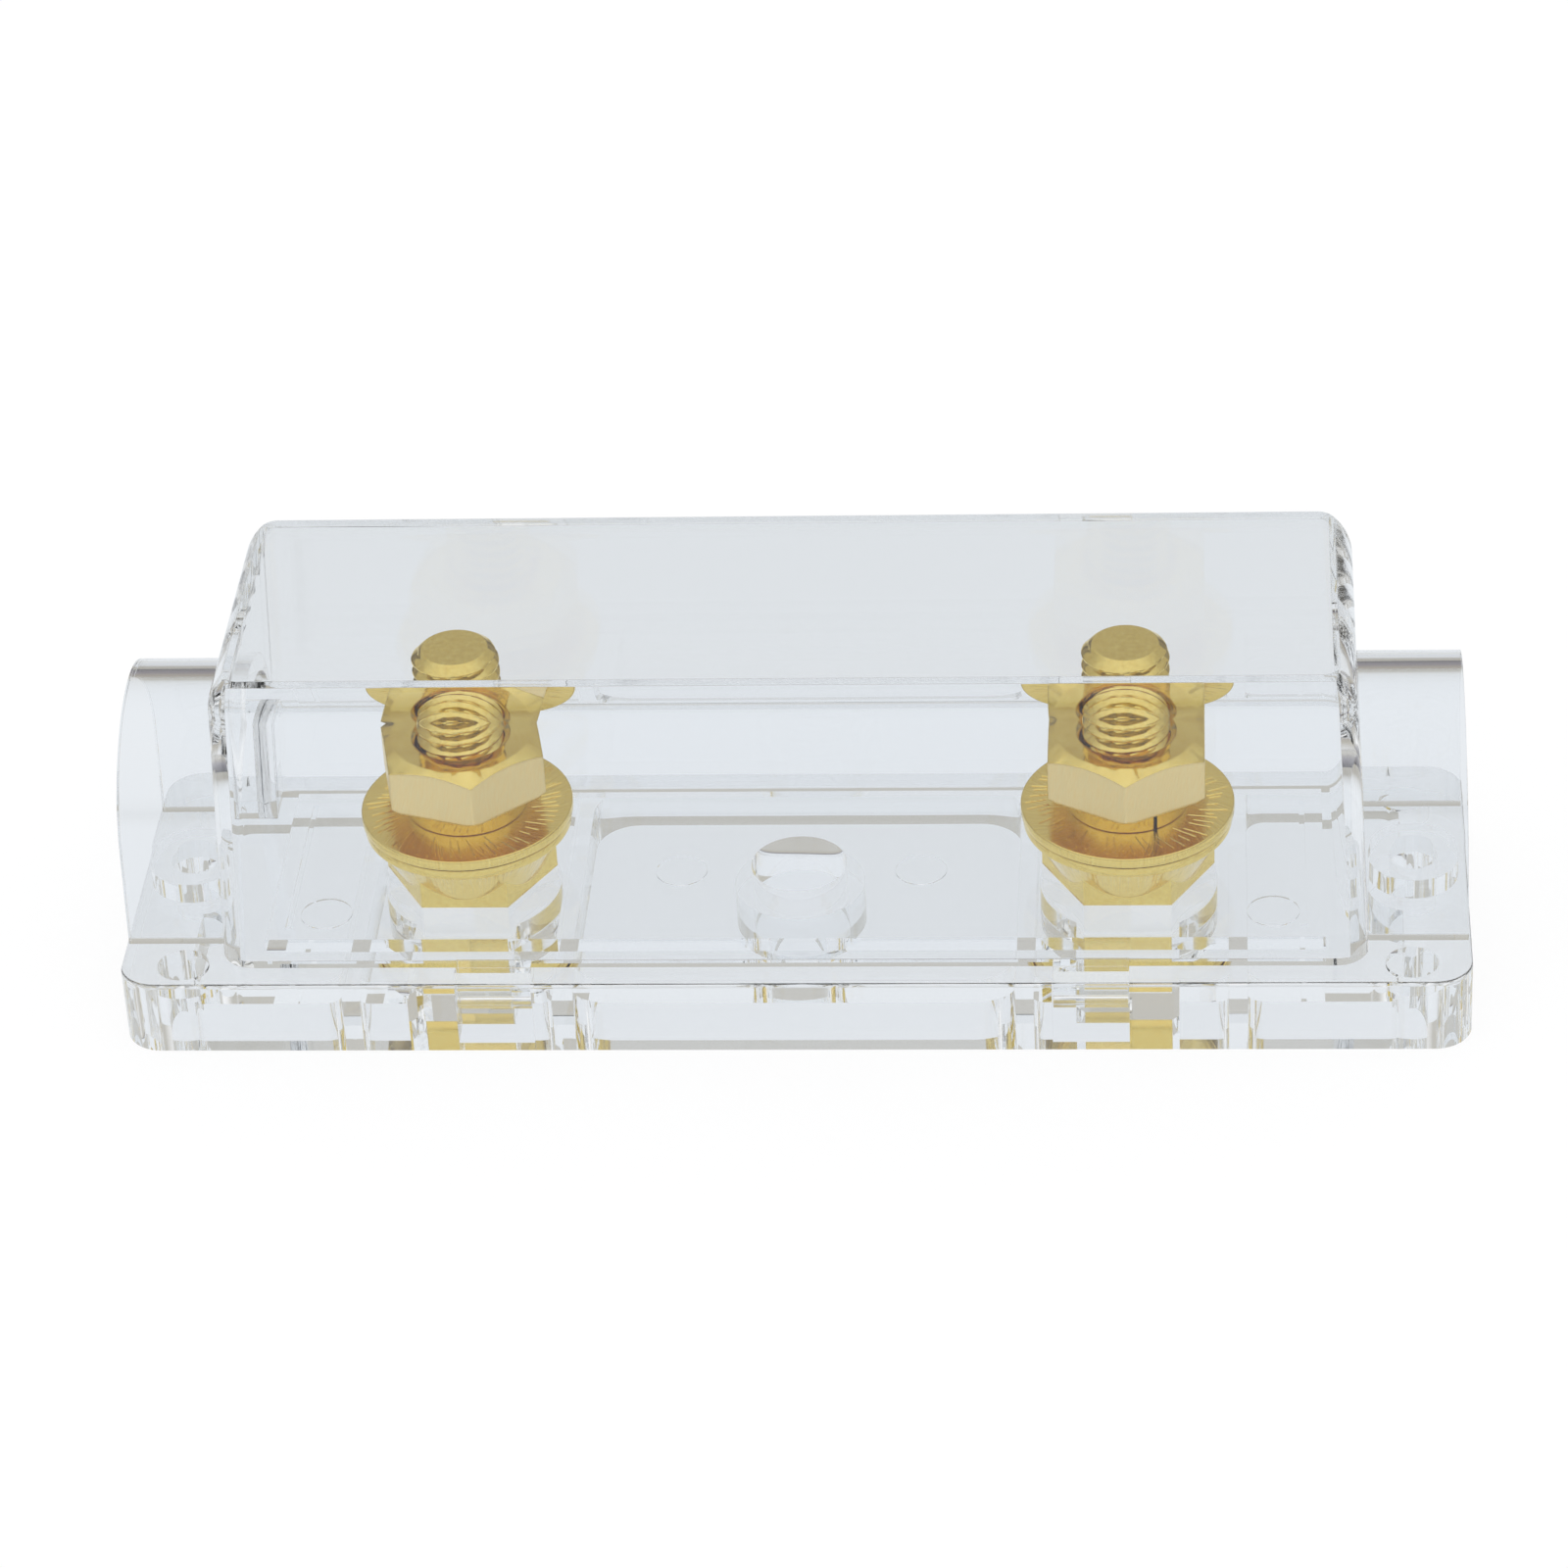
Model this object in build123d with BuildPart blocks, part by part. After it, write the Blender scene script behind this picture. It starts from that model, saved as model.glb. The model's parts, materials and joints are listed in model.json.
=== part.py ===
from build123d import *
import os
from math import cos, radians, sin, tan

os.makedirs("parts", exist_ok=True)

# Base moulding: a flat ledge all round, a low plinth inside the cover
base_length = 123.3
base_depth = 36.2
base_corner = 3.5
base_edge = 0.4
ledge_height = 7.3
plinth_rise = 1.4
plinth_side_gap = 1.4
plinth_end_gap = 1.9
skirt_wall = 2.55
pocket_ceiling = 4.2
plinth_top = ledge_height + plinth_rise

# Hollow underside: centre, stud and end pockets between thin ribs
centre_pocket_length = 40.6
centre_pocket_corner = 4.0
rib_wall = 1.7
stud_pocket_length = 17.7
stud_pocket_corner = 1.2
end_pocket_wall = 6.0
end_pocket_corner = 1.8
stud_bridge_width = 9.4
corner_hole_radius = 2.4
corner_hole_inset_x = 5.4
corner_hole_inset_y = 4.9
corner_hole_top = 4.8

# Holes and bosses of the base
centre_hole_radius = 4.45
centre_boss_wall = 1.6
mount_inset = 5.0
mount_hole_radius = 2.2
mount_boss_radius = 4.15
mount_boss_rise = 2.0
groove_inset = 1.9
groove_width = 0.5
groove_end_gap = 2.0
groove_depth = 0.3

# Cover moulding: a drafted box with a cable arch at each end
ledge_end = 9.3
ledge_side = 2.7
cover_height = 30.2
cover_end_draft = 2.6
cover_side_draft = 0.2
cover_corner = 3.0
cover_edge = 5.0
cover_edge_turn = 45.0
cover_edge_steps = 4
cover_wall = 2.0
cover_top_wall = 1.1
arch_radius = 11.5
arch_wall = 1.7
arch_centre_height = 17.6
arch_end_inset = 0.25
arch_draft = 1.4

# Snap tabs under the cover's long walls and their slots in the ledge
slot_x = 27.2
slot_width = 7.0
slot_outer_gap = 0.75
slot_inner_gap = 0.15
tab_side_gap = 0.1
tab_length = 4.0
bead_radius = 0.5
bead_height = 0.9

# Stud bolts: a hexagon in the base, a flange and a threaded shank
stud_spacing = 61.0
hex_flats = 13.8
hex_gap = 0.05
hex_bottom = 1.5
hex_top = 11.6
stud_boss_radius = 8.2
flange_radius = 9.6
flange_bottom = 13.7
flange_top = 14.7
stud_radius = 4.0
stud_top = 30.8
stud_chamfer = 0.9

# Washers and nuts on the shank
contact_washer_radius = 9.8
contact_washer_thickness = 1.0
washer_bore_gap = 0.15
lock_washer_radius = 6.2
lock_washer_thickness = 2.1
lock_washer_rise = 0.5
lock_washer_split = 12.0
nut_flats = 14.2
nut_height = 5.1
nut_chamfer_slope = 0.62
nut_thread_gap = 0.05

# Each side: name, turn of the nut, angle of the lock washer's split
sides = [("left", -1, 12.0, 115.0), ("right", 1, 0.0, -65.0)]

# Places worked out from the sizes above
stud_x = stud_spacing / 2
mount_spacing = base_length - 2 * mount_inset
cover_length = base_length - 2 * ledge_end
cover_depth = base_depth - 2 * ledge_side
pocket_depth = base_depth - 2 * skirt_wall
stud_pocket_x = centre_pocket_length / 2 + rib_wall + stud_pocket_length / 2
end_pocket_start = stud_pocket_x + stud_pocket_length / 2 + rib_wall
end_pocket_end = base_length / 2 - end_pocket_wall
end_pocket_length = end_pocket_end - end_pocket_start
end_pocket_x = (end_pocket_start + end_pocket_end) / 2
end_pocket_round = min(end_pocket_corner, end_pocket_length / 3)
corner_hole_x = base_length / 2 - corner_hole_inset_x
corner_hole_y = base_depth / 2 - corner_hole_inset_y
plinth_length = cover_length - 2 * cover_wall - 2 * plinth_end_gap
plinth_depth = cover_depth - 2 * cover_wall - 2 * plinth_side_gap
groove_x = plinth_length / 2 - groove_inset
groove_length = plinth_depth - 2 * groove_end_gap
slot_outer = cover_depth / 2 + slot_outer_gap
slot_inner = cover_depth / 2 - cover_wall - slot_inner_gap
slot_y = (slot_outer + slot_inner) / 2
slot_depth = slot_outer - slot_inner
tab_y = (cover_depth - cover_wall) / 2
tab_width = slot_width - 2 * tab_side_gap
tab_bottom = ledge_height - tab_length
cover_edge_start = cover_height - cover_edge * sin(radians(cover_edge_turn))
cavity_height = cover_height - cover_top_wall
arch_end = base_length / 2 - arch_end_inset
tunnel_radius = arch_radius - arch_wall
contact_washer_top = flange_top + contact_washer_thickness
nut_bottom = contact_washer_top + lock_washer_thickness + lock_washer_rise
nut_corner = nut_flats / 2 / cos(radians(30))
nut_chamfer = (nut_corner - nut_flats / 2) * nut_chamfer_slope


def arch_outline(radius):
    # Straight sides from the ledge up to a half circle, across and up
    with BuildLine() as outline:
        foot = Line((radius, ledge_height), (radius, arch_centre_height))
        crown = CenterArc((0, arch_centre_height), radius, 0, 180)
        Polyline(crown @ 1, (-radius, ledge_height), foot @ 0)
    return outline.edges()


def cover_level(height, inset, corner=0.0):
    # The cover's outline at a height above the ledge, moved in by both drafts and by the inset
    length = cover_length - 2 * (inset + height * tan(radians(cover_end_draft)))
    depth = cover_depth - 2 * (inset + height * tan(radians(cover_side_draft)))
    with BuildSketch(Plane.XY.offset(ledge_height + height)) as level:
        Rectangle(length, depth)
        if corner > 0:
            fillet(level.vertices(), corner)
    return level.sketch


def cover_edge_level(step):
    # One level of the round edge that leads from the walls to the flat top
    angle = radians(cover_edge_turn * step / cover_edge_steps)
    inset = cover_edge * (1 - cos(angle))
    return cover_level(cover_edge_start + cover_edge * sin(angle), inset, cover_corner - inset)


with BuildPart() as base:
    # Flat slab with rounded corners
    with BuildSketch():
        RectangleRounded(base_length, base_depth, base_corner)
    extrude(amount=ledge_height)
    fillet(base.faces().sort_by(Axis.Z)[-1].edges(), base_edge)
    # Low plinth that the cover drops around
    with BuildSketch(Plane.XY.offset(ledge_height)):
        Rectangle(plinth_length, plinth_depth)
    extrude(amount=plinth_rise)
    # Raised seats of the mounting screws under the cable arches
    with BuildSketch(Plane.XY.offset(ledge_height)):
        with GridLocations(mount_spacing, 0, 2, 1):
            Circle(mount_boss_radius)
    extrude(amount=mount_boss_rise)
    # Pockets of the hollow underside, round the hanging bosses
    with BuildSketch():
        RectangleRounded(centre_pocket_length, pocket_depth, centre_pocket_corner)
        with GridLocations(2 * stud_pocket_x, 0, 2, 1):
            RectangleRounded(stud_pocket_length, pocket_depth, stud_pocket_corner)
        with GridLocations(2 * end_pocket_x, 0, 2, 1):
            RectangleRounded(end_pocket_length, pocket_depth, end_pocket_round)
        Circle(centre_hole_radius + centre_boss_wall, mode=Mode.SUBTRACT)
        with GridLocations(stud_spacing, 0, 2, 1):
            Circle(stud_boss_radius, mode=Mode.SUBTRACT)
            Rectangle(stud_bridge_width, pocket_depth, mode=Mode.SUBTRACT)
        with GridLocations(mount_spacing, 0, 2, 1):
            Circle(mount_boss_radius, mode=Mode.SUBTRACT)
    extrude(amount=pocket_ceiling, mode=Mode.SUBTRACT)
    # Round core holes in the four corners
    with BuildSketch():
        with GridLocations(2 * corner_hole_x, 2 * corner_hole_y, 2, 2):
            Circle(corner_hole_radius)
    extrude(amount=corner_hole_top, mode=Mode.SUBTRACT)
    # Slots for the cover's snap tabs, right through the ledge
    with BuildSketch():
        with GridLocations(2 * slot_x, 2 * slot_y, 2, 2):
            Rectangle(slot_width, slot_depth)
    extrude(amount=ledge_height, mode=Mode.SUBTRACT)
    # Hexagon sockets of the stud bolts
    with BuildSketch(Plane.XY.offset(hex_bottom)):
        with GridLocations(stud_spacing, 0, 2, 1):
            RegularPolygon(hex_flats / 2 + hex_gap, 6, major_radius=False)
    extrude(amount=plinth_top - hex_bottom, mode=Mode.SUBTRACT)
    # Centre hole and mounting holes
    Hole(centre_hole_radius)
    with GridLocations(mount_spacing, 0, 2, 1):
        Hole(mount_hole_radius)
    # Shallow grooves near the plinth's ends
    with BuildSketch(Plane.XY.offset(plinth_top)):
        with GridLocations(2 * groove_x, 0, 2, 1):
            Rectangle(groove_width, groove_length)
    extrude(amount=-groove_depth, mode=Mode.SUBTRACT)

base.part.label = "base"
export_step(base.part, "parts/base.step")

with BuildPart() as arch:
    # Cable arch from end to end, with both end faces drafted
    with BuildSketch(Plane.YZ.offset(-arch_end)):
        make_face(arch_outline(arch_radius))
    extrude(amount=2 * arch_end)
    with BuildSketch(Plane.XY.offset(ledge_height)):
        Rectangle(2 * arch_end, cover_depth)
    extrude(amount=cover_height, taper=arch_draft, mode=Mode.INTERSECT)

with BuildPart() as cover:
    # Box with drafted walls and round corners
    loft([cover_level(0, 0, cover_corner), cover_level(cover_edge_start, 0, cover_corner)], ruled=True)
    # Round edge, cut off by the flat top
    loft([cover_edge_level(step) for step in range(cover_edge_steps + 1)])
    # Cable arch from end to end, cut back to the two ends by the cavity
    add(arch.part)
    # Sharp-cornered cavity
    loft(
        [cover_level(0, cover_wall), cover_level(cavity_height, cover_wall)],
        ruled=True,
        mode=Mode.SUBTRACT,
    )
    # Cable tunnel through both arches and both end walls
    with BuildSketch(Plane.YZ.offset(-arch_end)):
        make_face(arch_outline(tunnel_radius))
    extrude(amount=2 * arch_end, mode=Mode.SUBTRACT)
    # Four snap tabs under the long walls
    with BuildSketch(Plane.XY.offset(tab_bottom)):
        with GridLocations(2 * slot_x, 2 * tab_y, 2, 2):
            Rectangle(tab_width, cover_wall)
    extrude(amount=tab_length)
    # A round bead along the outside of each tab
    for tab_x in (-slot_x, slot_x):
        with BuildSketch(Plane.YZ.offset(tab_x - tab_width / 2)):
            with Locations(
                (-cover_depth / 2, tab_bottom + bead_height),
                (cover_depth / 2, tab_bottom + bead_height),
            ):
                Circle(bead_radius)
        extrude(amount=tab_width)

cover.part.label = "cover"
export_step(cover.part, "parts/cover.step")

for side, sign, nut_turn, split_angle in sides:
    x = sign * stud_x
    stud_axis = Axis((x, 0, 0), (0, 0, 1))

    with BuildPart() as stud_bolt:
        # Hexagon head that sits in the base's socket
        with BuildSketch(Plane((x, 0, hex_bottom))):
            RegularPolygon(hex_flats / 2, 6, major_radius=False)
        extrude(amount=hex_top - hex_bottom)
        # Cone, flange and shank, with a chamfered end
        with BuildSketch(Plane.XZ):
            with BuildLine():
                Polyline(
                    (x, hex_top),
                    (x + hex_flats / 2, hex_top),
                    (x + flange_radius, flange_bottom),
                    (x + flange_radius, flange_top),
                    (x + stud_radius, flange_top),
                    (x + stud_radius, stud_top - stud_chamfer),
                    (x + stud_radius - stud_chamfer, stud_top),
                    (x, stud_top),
                    close=True,
                )
            make_face()
        revolve(axis=stud_axis)
    stud_bolt.part.label = f"{side}_stud_bolt"
    export_step(stud_bolt.part, f"parts/{side}_stud_bolt.step")

    with BuildPart() as contact_washer:
        with BuildSketch(Plane((x, 0, flange_top))):
            Circle(contact_washer_radius)
            Circle(stud_radius + washer_bore_gap, mode=Mode.SUBTRACT)
        extrude(amount=contact_washer_thickness)
    contact_washer.part.label = f"{side}_contact_washer"
    export_step(contact_washer.part, f"parts/{side}_contact_washer.step")

    with BuildPart() as lock_washer:
        # One turn of square spring wire that climbs a little, so that its ends stand apart
        section_width = lock_washer_radius - stud_radius - washer_bore_gap
        turn = (360 - lock_washer_split) / 360
        helix_plane = Plane((x, 0, contact_washer_top + lock_washer_thickness / 2))
        with BuildLine(helix_plane.rotated((0, 0, split_angle + lock_washer_split / 2))) as coil:
            Helix(lock_washer_rise, lock_washer_rise * turn, lock_washer_radius - section_width / 2)
        wire = coil.line
        with BuildSketch(Plane(wire @ 0, x_dir=(wire @ 0) - Vector(x, 0, (wire @ 0).Z), z_dir=wire % 0)):
            Rectangle(section_width, lock_washer_thickness)
        sweep(path=wire, is_frenet=True)
    lock_washer.part.label = f"{side}_lock_washer"
    export_step(lock_washer.part, f"parts/{side}_lock_washer.step")

    with BuildPart() as nut:
        with BuildSketch(Plane((x, 0, nut_bottom))):
            RegularPolygon(nut_flats / 2, 6, major_radius=False, rotation=30 + nut_turn)
            Circle(stud_radius + nut_thread_gap, mode=Mode.SUBTRACT)
        extrude(amount=nut_height)
        # Both faces turned to a blunt cone, which rounds off the six corners
        with BuildSketch(Plane.XZ):
            with BuildLine():
                Polyline(
                    (x, nut_bottom),
                    (x + nut_flats / 2, nut_bottom),
                    (x + nut_corner, nut_bottom + nut_chamfer),
                    (x + nut_corner, nut_bottom + nut_height - nut_chamfer),
                    (x + nut_flats / 2, nut_bottom + nut_height),
                    (x, nut_bottom + nut_height),
                    close=True,
                )
            make_face()
        revolve(axis=stud_axis, mode=Mode.INTERSECT)
    nut.part.label = f"{side}_nut"
    export_step(nut.part, f"parts/{side}_nut.step")
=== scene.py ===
# %% [markdown]
# # A clear fuse holder with brass studs
#
# The holder is two clear mouldings and eight brass pieces. The base and the cover let light through, so
# most of what the eye sees is bent light: edges, pockets and holes drawn as thin dark and bright lines.
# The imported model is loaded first. It is the fixed frame that every piece in this lesson is built on, and
# a small function reads places from its nodes, such as the top of a washer.

# %% Load the fixed frame
import json
from math import atan2, cos, hypot, pi, radians, sin, tan
from random import Random

import bpy
from mathutils import Matrix, Vector

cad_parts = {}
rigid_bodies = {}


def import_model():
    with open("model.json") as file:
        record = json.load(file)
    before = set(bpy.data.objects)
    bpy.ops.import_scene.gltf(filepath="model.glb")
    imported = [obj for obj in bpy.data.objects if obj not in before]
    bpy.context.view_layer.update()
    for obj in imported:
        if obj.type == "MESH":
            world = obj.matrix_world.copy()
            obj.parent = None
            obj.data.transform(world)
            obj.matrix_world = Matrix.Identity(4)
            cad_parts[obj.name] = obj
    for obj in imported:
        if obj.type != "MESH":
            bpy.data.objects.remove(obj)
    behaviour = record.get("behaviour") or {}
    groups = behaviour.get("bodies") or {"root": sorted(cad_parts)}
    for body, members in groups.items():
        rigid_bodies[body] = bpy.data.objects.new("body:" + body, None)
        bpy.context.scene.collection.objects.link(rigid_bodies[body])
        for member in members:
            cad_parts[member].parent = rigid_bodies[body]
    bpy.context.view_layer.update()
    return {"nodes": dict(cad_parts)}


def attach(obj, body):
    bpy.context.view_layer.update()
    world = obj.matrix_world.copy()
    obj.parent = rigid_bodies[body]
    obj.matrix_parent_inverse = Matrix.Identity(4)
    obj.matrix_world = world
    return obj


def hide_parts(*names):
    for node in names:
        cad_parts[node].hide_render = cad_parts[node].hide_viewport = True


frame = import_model()
mm = 0.001


def packed_extent(node, axis):
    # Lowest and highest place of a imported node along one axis, to a thousandth of a millimetre
    places = [vertex.co["XYZ".index(axis)] / mm for vertex in frame["nodes"][node].data.vertices]
    return round(min(places), 3) * mm, round(max(places), 3) * mm


# %% [markdown]
# ## Camera
#
# The picture was taken from a little to the right and about a third of the way up, with a long lens held
# slightly turned. A long lens flattens the perspective, which keeps both ends of the holder nearly the
# same size. The camera's matrix is built from three directions: right, up and back.

# %% Place the camera
camera_azimuth = radians(5.283)
camera_elevation = radians(33.706)
camera_roll = radians(3.226)
camera_distance = 520.8 * mm
camera_target = Vector((-1.060, -0.138, 17.125)) * mm
focal_pixels = 5770.0
image_pixels = 1600
sensor_width = 36.0

back = Vector((
    sin(camera_azimuth) * cos(camera_elevation),
    -cos(camera_azimuth) * cos(camera_elevation),
    sin(camera_elevation),
))
level_right = Vector((cos(camera_azimuth), sin(camera_azimuth), 0))
level_up = back.cross(level_right)
right = cos(camera_roll) * level_right - sin(camera_roll) * level_up
up = sin(camera_roll) * level_right + cos(camera_roll) * level_up

lens = bpy.data.cameras.new("camera")
lens.sensor_width = sensor_width
lens.lens = focal_pixels / image_pixels * sensor_width
camera = bpy.data.objects.new("camera", lens)
bpy.context.scene.collection.objects.link(camera)
camera.matrix_world = Matrix.Translation(camera_target + camera_distance * back) @ Matrix(
    (right, up, back)
).transposed().to_4x4()
bpy.context.scene.camera = camera
print("lens in mm:", round(lens.lens, 1))

# %% [markdown]
# ## Colours and nodes
#
# Colours are written the way a picture editor shows them, as sRGB hex values. Blender's shaders work in
# linear light, so one function turns each value to linear. A second small function adds a node, sets its
# fields and links its inputs.

# %% Helpers for materials


def linear(hex_colour):
    values = [int(hex_colour[i:i + 2], 16) / 255 for i in (1, 3, 5)]
    return tuple(v / 12.92 if v <= 0.04045 else ((v + 0.055) / 1.055) ** 2.4 for v in values) + (1.0,)


def add_node(tree, kind, settings=None, inputs=None):
    made = tree.nodes.new(kind)
    for field, value in (settings or {}).items():
        setattr(made, field, value)
    for socket, value in (inputs or {}).items():
        if isinstance(value, bpy.types.NodeSocket):
            tree.links.new(value, made.inputs[socket])
        else:
            made.inputs[socket].default_value = value
    return made


def new_material(name):
    material = bpy.data.materials.new(name)
    material.use_nodes = True
    material.node_tree.nodes.clear()
    return material, material.node_tree


# %% [markdown]
# ## Studio
#
# A clear object shows what stands behind it, and brass shows what stands around it. The camera itself
# sees plain white. Every ray that has been bent or reflected sees a room instead: a white ceiling, a wall
# behind that goes from grey near the floor to warm grey and pale grey higher up, and a brighter wall in
# front with a dark foot. Two colour ramps hold the walls, by height, and Y fades one into the other.
# Without something dark to bend, clear plastic would have no edges, and brass would look flat.

# %% Light the world
white = linear("#FFFFFF")
backdrop_colour = linear("#EEF2F6")
wall_behind = ("#56545A", (0.13, "#86828A"), (0.30, "#B4AEA1"), (0.55, "#BCB9B0"), (0.80, "#E2E4E6"))
wall_in_front = ("#4A463E", (0.05, "#726E64"), (0.14, "#C4C4C0"), (0.35, "#F2F3F4"))

fade_front = -0.45
fade_back = 0.35

world = bpy.data.worlds.new("studio")
world.use_nodes = True
bpy.context.scene.world = world
tree = world.node_tree
tree.nodes.clear()
ray = add_node(tree, "ShaderNodeLightPath")
direction = add_node(tree, "ShaderNodeTexCoord")
heading = add_node(tree, "ShaderNodeSeparateXYZ", inputs={0: direction.outputs["Generated"]})
walls = []
for low, *higher in (wall_behind, wall_in_front):
    wall = add_node(tree, "ShaderNodeValToRGB", inputs={"Fac": heading.outputs["Z"]})
    wall.color_ramp.elements[0].color = linear(low)
    for height, colour in higher:
        wall.color_ramp.elements.new(height).color = linear(colour)
    walls.append(wall.outputs["Color"])
turn = add_node(tree, "ShaderNodeMapRange", {"interpolation_type": "SMOOTHSTEP"}, {
    "Value": heading.outputs["Y"], "From Min": fade_front, "From Max": fade_back,
    "To Min": 1.0, "To Max": 0.0,
})
studio = add_node(tree, "ShaderNodeMix", {"data_type": "RGBA"}, {
    "Factor": turn.outputs["Result"], "A": walls[0], "B": walls[1],
})
seen = add_node(tree, "ShaderNodeMix", {"data_type": "RGBA"}, {
    "Factor": ray.outputs["Is Camera Ray"], "A": studio.outputs["Result"], "B": white,
})
sky = add_node(tree, "ShaderNodeBackground", inputs={"Color": seen.outputs["Result"], "Strength": 1.0})
add_node(tree, "ShaderNodeOutputWorld", inputs={"Surface": sky.outputs[0]})
bpy.context.scene.view_settings.view_transform = "Standard"
print("world nodes:", len(tree.nodes))

# %% [markdown]
# ## How far light travels
#
# Light that enters the edge of a clear plate is trapped and bounces along inside it, as in a light guide,
# and leaves at the far edge. Cycles stops following light after a few bounces and paints the rest black,
# so the limits are raised until the edges of the cover come out pale, as they really are.

# %% Follow light through the plates
light = bpy.context.scene.cycles
light.max_bounces = 40
light.transmission_bounces = 40
light.glossy_bounces = 32
print("bounces:", light.max_bounces, light.transmission_bounces, light.glossy_bounces)

# %% [markdown]
# ## Floor
#
# The floor is pale paper. Part of its light is its own, so that it reads as white, and the rest is real
# diffuse light, which is what lets the holder cast a faint shadow on it. Seen directly it glows a little
# more, to make up for the diffuse share, which is never quite white. Seen through the plastic it is a
# pale blue grey close to the holder, and further out it dims to a warm grey, which the bent light at the
# edges picks up. A film of air is left under the holder: where plastic and floor would share one plane,
# total reflection in the base would be lost.

# %% Lay the floor
floor_size = 6.0
floor_glow = 0.85
seen_glow = 1.06
dim_paper = linear("#A29D90")
air_film = 0.05 * mm
lit_reach = 110 * mm
dim_reach = 300 * mm
shadow_paper, tree = new_material("pale_paper")
ray = add_node(tree, "ShaderNodeLightPath")
paper = add_node(tree, "ShaderNodeBsdfDiffuse", inputs={"Color": linear("#F6F7F9")})
place = add_node(tree, "ShaderNodeTexCoord")
reach = add_node(tree, "ShaderNodeVectorMath", {"operation": "LENGTH"}, {0: place.outputs["Object"]})
dimming = add_node(tree, "ShaderNodeMapRange", {"interpolation_type": "SMOOTHSTEP"}, {
    "Value": reach.outputs["Value"], "From Min": lit_reach, "From Max": dim_reach,
})
around = add_node(tree, "ShaderNodeMix", {"data_type": "RGBA"}, {
    "Factor": dimming.outputs["Result"], "A": backdrop_colour, "B": dim_paper,
})
tone = add_node(tree, "ShaderNodeMix", {"data_type": "RGBA"}, {
    "Factor": ray.outputs["Is Camera Ray"], "A": around.outputs["Result"], "B": white,
})
level = add_node(tree, "ShaderNodeMapRange", inputs={
    "Value": ray.outputs["Is Camera Ray"], "To Min": 1.0, "To Max": seen_glow,
})
glow = add_node(tree, "ShaderNodeEmission", inputs={
    "Color": tone.outputs["Result"], "Strength": level.outputs["Result"],
})
mixed = add_node(tree, "ShaderNodeMixShader", inputs={
    0: floor_glow, 1: paper.outputs[0], 2: glow.outputs[0],
})
add_node(tree, "ShaderNodeOutputMaterial", inputs={"Surface": mixed.outputs[0]})

bpy.ops.object.select_all(action="DESELECT")
bpy.ops.mesh.primitive_plane_add(size=floor_size, location=(0, 0, -air_film))
bpy.ops.object.transform_apply(location=True)
floor = bpy.context.active_object
floor.name = "floor"
floor.data.materials.append(shadow_paper)
print("floor:", floor.name, floor_size, "m")

# %% [markdown]
# ## Clear moulded plastic
#
# Acrylic bends light with an index of refraction of 1.49 and leaves the mould with a polished face. It is
# almost colourless, so its colour is nearly white. A mould is never perfectly flat: a slow, very shallow
# waviness makes the bent lines waver a little, as they do in the real moulding.

# %% Make the clear plastic
wave_length = 9.0 * mm
wave_depth = 0.004 * mm
clear_acrylic, tree = new_material("polished_clear_acrylic")
place = add_node(tree, "ShaderNodeTexCoord")
waves = add_node(tree, "ShaderNodeTexNoise", inputs={
    "Vector": place.outputs["Object"], "Scale": 1 / wave_length, "Detail": 1.0,
})
wavy = add_node(tree, "ShaderNodeBump", inputs={
    "Height": waves.outputs["Fac"], "Strength": 1.0, "Distance": wave_depth,
})
shader = add_node(tree, "ShaderNodeBsdfPrincipled", inputs={
    "Base Color": linear("#FBFCFD"), "Roughness": 0.0, "IOR": 1.49, "Transmission Weight": 1.0,
    "Normal": wavy.outputs["Normal"],
})
add_node(tree, "ShaderNodeOutputMaterial", inputs={"Surface": shader.outputs[0]})
print("material:", clear_acrylic.name)

# %% [markdown]
# ## Bright plated brass
#
# Brass reflects red and green light well and blue light badly. A turned face keeps fine rings or grain
# from the lathe, a brushed face keeps strokes, and a serrated washer has lines that run outwards. Each
# finish is one pattern that moves the roughness, the tint and the height together. A noise seldom leaves
# the middle of its range, so the roughness is spread between two values near the middle.

# %% Colours of the brass
pale_brass = linear("#F6E28E")
deep_brass = linear("#E0C063")
# The brushed pair is paler than the other brass: painted light that brightens the nut's sides
brushed_pale_painted_light = linear("#FFEEB8")
brushed_deep_painted_light = linear("#F8D78C")
edge_softness = 0.32 * mm
edge_samples = 8
noise_low = 0.3
noise_high = 0.7
print("pale brass:", [round(share, 3) for share in pale_brass])

# %% [markdown]
# ### Turned brass
#
# The stud bolts and the lock washers come off a lathe: smooth, with a fine even grain. Real grain is too
# fine to show in the picture, so it is drawn coarser.

# %% Make the turned brass
grain_width = 0.5 * mm
grain_depth = 0.004 * mm
turned_brass, tree = new_material("turned_plated_brass")
place = add_node(tree, "ShaderNodeTexCoord")
grain = add_node(tree, "ShaderNodeTexNoise", inputs={
    "Vector": place.outputs["Object"], "Scale": 1 / grain_width, "Detail": 4.0,
})
rough = add_node(tree, "ShaderNodeMapRange", inputs={
    "Value": grain.outputs["Fac"], "From Min": noise_low, "From Max": noise_high,
    "To Min": 0.07, "To Max": 0.17,
})
tint = add_node(tree, "ShaderNodeMix", {"data_type": "RGBA"}, {
    "Factor": grain.outputs["Fac"], "A": deep_brass, "B": pale_brass,
})
bumps = add_node(tree, "ShaderNodeBump", inputs={
    "Height": grain.outputs["Fac"], "Strength": 1.0, "Distance": grain_depth,
})
shader = add_node(tree, "ShaderNodeBsdfPrincipled", inputs={
    "Base Color": tint.outputs["Result"], "Metallic": 1.0, "Roughness": rough.outputs["Result"],
    "Normal": bumps.outputs["Normal"],
})
add_node(tree, "ShaderNodeOutputMaterial", inputs={"Surface": shader.outputs[0]})
print("material:", turned_brass.name)

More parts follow.
